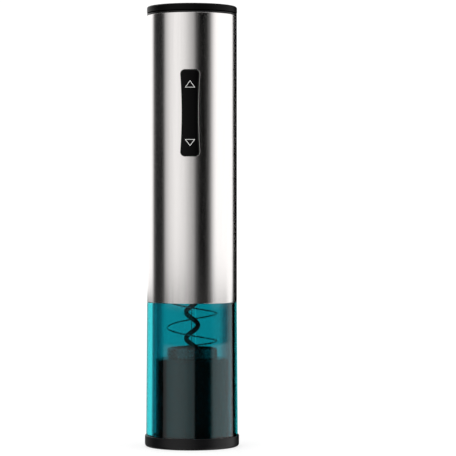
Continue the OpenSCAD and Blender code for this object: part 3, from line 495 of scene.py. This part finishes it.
def rocker_shell():
    """Crowned pad: the outline steps in over a rounded edge, then closes on the centre line."""
    base = [Vector(p) for p in rocker_outline(0, 36, 10)]
    count = len(base)
    spine_top = ROCKER_H / 2 - ROCKER_W / 2
    inward = []
    for k in range(count):
        along = (base[(k + 1) % count] - base[k - 1]).normalized()
        inward.append(Vector((-along.y, along.x)))
    rings = [(base, ROCKER_T)]
    for k in range(EDGE_STEPS + 1):
        a = math.pi / 2 * k / EDGE_STEPS
        step = EDGE * (1 - math.cos(a))
        rings.append(([base[i] + inward[i] * step for i in range(count)], EDGE * (1 - math.sin(a))))
    edge = rings[-1][0]
    for k in range(1, FACE_STEPS):
        t = k / FACE_STEPS
        rings.append(([p.lerp(Vector((0, max(-spine_top, min(spine_top, p.y)))), t) for p in edge], 0.0))
    verts, faces = [], []
    for pts, sink in rings:
        for p in pts:
            y = -math.sqrt(ROCKER_FACE ** 2 - p.x ** 2) + sink
            verts.append((p.x, min(y, -ROCKER_BACK) if sink < ROCKER_T else -ROCKER_BACK, ROCKER_Z + p.y))
    for k in range(len(rings) - 1):
        for i in range(count):
            m = (i + 1) % count
            faces.append((k * count + i, k * count + m, (k + 1) * count + m, (k + 1) * count + i))
    last = (len(rings) - 1) * count
    spine = []
    for p in rings[-1][0]:
        q = Vector((0, max(-spine_top, min(spine_top, p.y))))
        spine.append(len(verts))
        verts.append((0, -ROCKER_FACE, ROCKER_Z + q.y))
    for i in range(count):
        m = (i + 1) % count
        faces.append((last + i, last + m, spine[m], spine[i]))
    faces.append(tuple(range(count - 1, -1, -1)))
    return verts, faces


rocker = piece("rocker_pad", rocker_shell(), gloss, 50)
web_outline = rounded([(AXIS, -WEB_HALF, 0), (WEB_R, -WEB_HALF, 0.2 * MM), (WEB_R, WEB_HALF, 0.2 * MM),
                       (AXIS, WEB_HALF, 0)], 3)
web = piece("rocker_web", lathe(web_outline, 40), gloss)
web.matrix_world = (Matrix.Translation((0, -ROCKER_BACK + 1.2 * MM, ROCKER_Z))
                    @ Matrix.Rotation(math.pi / 2, 4, "Y"))
stand_for(rocker, "rocker_switch", "rocker_black", "rocker")
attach(web, "rocker_switch")

stud_outline = rounded([(AXIS, 0, 0), (STUD_R, 0, 0.1 * MM), (STUD_R, STUD_H, 0.05 * MM),
                        (AXIS, STUD_H, 0)], 3)
for name, sign in (("rocker_stud_lower", -1), ("rocker_stud_upper", 1)):
    stud = piece(name, lathe(stud_outline, 40), gloss)
    stud.matrix_world = (Matrix.Translation((0, -ROCKER_BACK - 0.1 * MM, ROCKER_Z + sign * STUD_REACH))
                         @ Matrix.Rotation(-math.pi / 2, 4, "X"))
    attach(stud, "rocker_switch")


def triangle_mark(name, apex, base, half, line):
    """Outlined triangle lying on the rocker's curved face."""
    outer = [Vector((-half, base)), Vector((half, base)), Vector((0, apex))]
    middle = (outer[0] + outer[1] + outer[2]) / 3
    inset = (abs(base - middle.y) - line) / abs(base - middle.y)
    inner = [middle + (p - middle) * inset for p in outer]
    steps = 10
    verts, faces = [], []
    for side in range(3):
        for i in range(steps):
            t = i / steps
            for loop in (outer, inner):
                p = loop[side].lerp(loop[(side + 1) % 3], t)
                for lift in (0.02 * MM, -0.1 * MM):
                    verts.append((p.x, -math.sqrt(ROCKER_FACE ** 2 - p.x ** 2) - lift, p.y))
    count = 3 * steps
    for k in range(count):
        m = (k + 1) % count
        a, b = 4 * k, 4 * m
        faces += [(a, b, b + 2, a + 2), (a + 2, b + 2, b + 3, a + 3),
                  (a + 3, b + 3, b + 1, a + 1), (a + 1, b + 1, b, a)]
    mark = piece(name, (verts, faces), ink)
    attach(mark, "rocker_switch")


MARK_HALF, MARK_LINE = 2.65 * MM, 0.19 * MM
for name, apex, foot_line in (("mark_up", 17.0 * MM, 13.3 * MM), ("mark_down", -17.4 * MM, -13.9 * MM)):
    triangle_mark(name, ROCKER_Z + apex, ROCKER_Z + foot_line, MARK_HALF, MARK_LINE)

# ---------------------------------------------------------------- worm and guide spring

worm_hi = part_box("worm")[1]
WORM_PITCH, WORM_LINE_R, WORM_WIRE_R, SHANK_R = 13.9 * MM, 3.1 * MM, 1.3 * MM, 2.0 * MM
WORM_TIP, HELIX_TOP, SHANK_FROM = 17.5 * MM, 76.05 * MM, 83.0 * MM
WORM_TURN_AT = 57.5 * MM
WORM_STEPS, NECK_STEPS = 260, 40


def smooth(t):
    return t * t * (3 - 2 * t)


def worm_mesh():
    path, radii, refs = [], [], []
    stations = []
    for i in range(WORM_STEPS + 1):
        z = WORM_TIP + (HELIX_TOP - WORM_TIP) * i / WORM_STEPS
        t = min(1, (z - WORM_TIP) / (0.7 * WORM_PITCH))
        stations.append((WORM_LINE_R, z, WORM_WIRE_R * (0.06 + 0.94 * math.sin(math.pi / 2 * t))))
    for i in range(1, NECK_STEPS + 1):
        t = i / NECK_STEPS
        stations.append((WORM_LINE_R * (1 - smooth(t)), HELIX_TOP + (SHANK_FROM - HELIX_TOP) * t,
                         WORM_WIRE_R + (SHANK_R - WORM_WIRE_R) * smooth(t)))
    stations += [(0, SHANK_FROM + 0.5 * MM, SHANK_R), (0, SHANK_FROM + 1 * MM, SHANK_R),
                 (0, worm_hi.z, SHANK_R)]
    for r, z, w in stations:
        a = math.pi + 2 * math.pi * (z - WORM_TURN_AT) / WORM_PITCH
        path.append(Vector((r * math.cos(a), r * math.sin(a), z)))
        radii.append(w)
        refs.append(Vector((math.cos(a), math.sin(a), 0)))
    return sweep(path, radii, refs, 20)


worm = piece("worm_helix", worm_mesh(), worm_coat, 60)
stand_for(worm, "worm_drive", "worm_steel", "worm")

spring_lo, spring_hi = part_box("guide_spring")
GUIDE_SHOULDER, SEAT_Z = spring_lo.z, spring_hi.z
SPRING_R, SPRING_WIRE_R, SPRING_PITCH, SPRING_CLOSED = 13.2 * MM, 0.39 * MM, 14.7 * MM, 6
SPRING_RIGHT_AT = 70.8 * MM
TURN_STEPS, BLEND = 56, 7


def spring_mesh():
    rise = 2.1 * SPRING_WIRE_R
    low = GUIDE_SHOULDER + SPRING_WIRE_R
    mid = low + SPRING_CLOSED * rise
    high = SEAT_Z - SPRING_WIRE_R - rise
    open_turns = (high - mid) / SPRING_PITCH
    phase = 2 * math.pi * (SPRING_CLOSED + (SPRING_RIGHT_AT - mid) / SPRING_PITCH)
    total = SPRING_CLOSED + open_turns + 1
    path, refs = [], []
    steps = int(total * TURN_STEPS)
    for i in range(steps + 1):
        t = total * i / steps
        if t < SPRING_CLOSED:
            z = low + t * rise
        elif t < SPRING_CLOSED + open_turns:
            z = mid + (t - SPRING_CLOSED) * SPRING_PITCH
        else:
            z = high + (t - SPRING_CLOSED - open_turns) * rise
        a = phase - 2 * math.pi * t
        path.append(Vector((SPRING_R * math.cos(a), SPRING_R * math.sin(a), z)))
        refs.append(Vector((math.cos(a), math.sin(a), 0)))
    # the rise changes smoothly where open coils meet closed ones
    heights = [p.z for p in path]
    for i in range(len(path)):
        near = heights[max(0, i - BLEND):i + BLEND + 1]
        if BLEND + 1 < i < len(path) - BLEND - 1:
            path[i].z = sum(near) / len(near)
    return sweep(path, [SPRING_WIRE_R] * len(path), refs, 10)


spring = piece("guide_coil", spring_mesh(), wire, 60)
stand_for(spring, "housing", "spring_steel", "guide_spring")
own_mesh(spring)

# ---------------------------------------------------------------- studio

scene = bpy.context.scene
CAM_DISTANCE, CAM_HEIGHT, CAM_AZIMUTH = 1.145, 0.1239, math.radians(2.4)
FOCAL_PX, AXIS_PX, HORIZON_PX, SIDE_PX = 2137.0, 192.0, 214.4, 456
camera_data = bpy.data.cameras.new("camera")
camera_data.sensor_width = 36
camera_data.lens = FOCAL_PX / SIDE_PX * 36
camera_data.shift_y = (HORIZON_PX - SIDE_PX / 2) / SIDE_PX
camera_data.clip_start = 0.01
camera = bpy.data.objects.new("camera", camera_data)
scene.collection.objects.link(camera)
camera.location = (CAM_DISTANCE * math.sin(CAM_AZIMUTH), -CAM_DISTANCE * math.cos(CAM_AZIMUTH), CAM_HEIGHT)
yaw = math.atan((SIDE_PX / 2 - AXIS_PX) / FOCAL_PX)
camera.rotation_euler = (math.pi / 2, 0, CAM_AZIMUTH - yaw)
bpy.context.scene.camera = camera

scene.view_settings.view_transform = "Standard"
world = bpy.data.worlds.new("studio")
scene.world = world
world.use_nodes = True
world.node_tree.nodes["Background"].inputs["Color"].default_value = (1, 1, 1, 1)
world.node_tree.nodes["Background"].inputs["Strength"].default_value = 1.06

floor_mat, floor_tree, floor_bsdf = shader("floor_paper", Roughness=0.9, Emission_Color=(1, 1, 1, 1),
                                          Emission_Strength=0.6)
vary_colour(floor_tree, floor_bsdf, noise(floor_tree, 3), (0.4, 0.4, 0.4), (0.42, 0.42, 0.42))
bpy.ops.mesh.primitive_plane_add(size=14, location=(0, 0, -0.02 * MM))
floor = bpy.context.object
floor.name = "floor"
floor.data.materials.append(floor_mat)
floor.visible_glossy = False
floor.visible_transmission = False

# Rings of light and dark panels round the object. One is seen only in reflections, and changes with
# height: low down, beside the clear window and beside the steel tube. The other is seen only through
# the clear cover. Each stop is (direction in degrees from the camera, brightness).
LOW_DOWN = [(-180, 0.2), (-118, 0.2), (-108, 0.02), (-78, 0.015), (-74, 0.55), (-58, 0.9), (-40, 1.12),
            (-20, 0.95), (-5, 0.6), (5, 0.55), (8, 0.02), (46, 0.01), (55, 1.1), (64, 1.35), (118, 1.35),
            (126, 0.0), (180, 0.0)]
BESIDE_WINDOW = [(-180, 0.2), (-118, 0.2), (-108, 0.02), (-5, 0.06), (48, 0.03), (60, 0.1), (96, 0.2),
                 (108, 1.1), (120, 1.1), (126, 0.0), (180, 0.0)]
BESIDE_TUBE = [(-180, 1.3), (-121, 1.3), (-112, 0.12), (-104, 0.02), (-76, 0.015), (-70, 0.55), (-58, 0.9),
               (-40, 1.12), (-20, 0.95), (-5, 0.6), (4, 0.45), (10, 0.1), (15, 0.03), (22, 0.0), (33, 0.0),
               (40, 0.03), (46, 0.2), (53, 0.8), (60, 1.25), (66, 1.35), (124, 1.35), (129, 0.0), (178, 0.0),
               (180, 1.3)]
BEHIND = [(-180, 1.15), (-130, 1.15), (-122, 0.03), (-76, 0.01), (-70, 0.9), (0, 0.6), (8, 0.01), (48, 0.01),
          (60, 0.9), (124, 0.9), (130, 0.0), (162, 0.0), (168, 0.95), (174, 1.1), (180, 1.15)]
PANEL_R, PANEL_LOW, PANEL_HIGH, PANEL_PEAK = 0.5, -0.25, 0.6, 1.4
PANEL_STEPS = 240
PANEL_WHITE = (1, 0.995, 0.985)
WINDOW_BANDS = ((0.029, 0.032), (0.057, 0.067))


def panel_ring(name, bands, mirrored):
    """bands holds one list of stops, or one for each height, changing over at WINDOW_BANDS."""
    verts, faces = [], []
    for i in range(PANEL_STEPS):
        a = 2 * math.pi * i / PANEL_STEPS
        for z in (PANEL_LOW, PANEL_HIGH):
            verts.append((PANEL_R * math.cos(a), PANEL_R * math.sin(a), z))
    for i in range(PANEL_STEPS):
        j = (i + 1) % PANEL_STEPS
        faces.append((2 * i, 2 * i + 1, 2 * j + 1, 2 * j))
        if mirrored:
            # closed below, so that the steel keeps its bands when seen from above
            faces.append((2 * i, 2 * j, 2 * PANEL_STEPS))
    verts.append((0, 0, PANEL_LOW))
    mesh = bpy.data.meshes.new(name)
    mesh.from_pydata(verts, [], faces)
    mat = bpy.data.materials.new(name)
    mat.use_nodes = True
    tree = mat.node_tree
    tree.nodes.clear()
    out = tree.nodes.new("ShaderNodeOutputMaterial")
    glow = tree.nodes.new("ShaderNodeEmission")
    glow.inputs["Strength"].default_value = PANEL_PEAK
    coord = tree.nodes.new("ShaderNodeTexCoord")
    split = tree.nodes.new("ShaderNodeSeparateXYZ")
    minus = tree.nodes.new("ShaderNodeMath")
    minus.operation = "MULTIPLY"
    minus.inputs[1].default_value = -1
    angle = tree.nodes.new("ShaderNodeMath")
    angle.operation = "ARCTAN2"
    turn = tree.nodes.new("ShaderNodeMapRange")
    turn.inputs["From Min"].default_value = -math.pi
    turn.inputs["From Max"].default_value = math.pi
    tree.links.new(coord.outputs["Object"], split.inputs[0])
    tree.links.new(split.outputs["Y"], minus.inputs[0])
    tree.links.new(split.outputs["X"], angle.inputs[0])
    tree.links.new(minus.outputs[0], angle.inputs[1])
    tree.links.new(angle.outputs[0], turn.inputs["Value"])
    colour = None
    for k, stops in enumerate(bands):
        levels = ramp(tree, [((direction + 180) / 360, [level * c / PANEL_PEAK for c in PANEL_WHITE])
                             for direction, level in stops])
        tree.links.new(turn.outputs["Result"], levels.inputs["Fac"])
        if colour is None:
            colour = levels.outputs["Color"]
            continue
        height = tree.nodes.new("ShaderNodeMapRange")
        height.inputs["From Min"].default_value, height.inputs["From Max"].default_value = WINDOW_BANDS[k - 1]
        mix = tree.nodes.new("ShaderNodeMix")
        mix.data_type = "RGBA"
        tree.links.new(split.outputs["Z"], height.inputs["Value"])
        tree.links.new(height.outputs["Result"], mix.inputs[0])
        tree.links.new(colour, mix.inputs[6])
        tree.links.new(levels.outputs["Color"], mix.inputs[7])
        colour = mix.outputs[2]
    tree.links.new(colour, glow.inputs["Color"])
    tree.links.new(glow.outputs[0], out.inputs["Surface"])
    obj = bpy.data.objects.new(name, mesh)
    mesh.materials.append(mat)
    obj.rotation_euler = (0, 0, CAM_AZIMUTH)
    scene.collection.objects.link(obj)
    obj.visible_camera = False
    obj.visible_diffuse = False
    obj.visible_shadow = False
    obj.visible_volume_scatter = False
    obj.visible_glossy = mirrored
    obj.visible_transmission = not mirrored


panel_ring("mirrored_panels", [LOW_DOWN, BESIDE_WINDOW, BESIDE_TUBE], True)
panel_ring("backing_panels", [BEHIND], False)


def softbox(name, place, size, power):
    data = bpy.data.lights.new(name, "AREA")
    data.shape = "RECTANGLE"
    data.size, data.size_y = size
    data.energy = power
    light = bpy.data.objects.new(name, data)
    light.location = place
    light.rotation_euler = (Vector((0, 0, 0.12)) - Vector(place)).to_track_quat("-Z", "Y").to_euler()
    scene.collection.objects.link(light)
    light.visible_camera = False
    light.visible_glossy = False
    light.visible_transmission = False
    return light


softbox("key_left", (-0.9, -1.0, 1.1), (0.8, 0.8), 3.0)
softbox("fill_right", (1.1, -0.6, 0.7), (0.6, 1.0), 1.5)
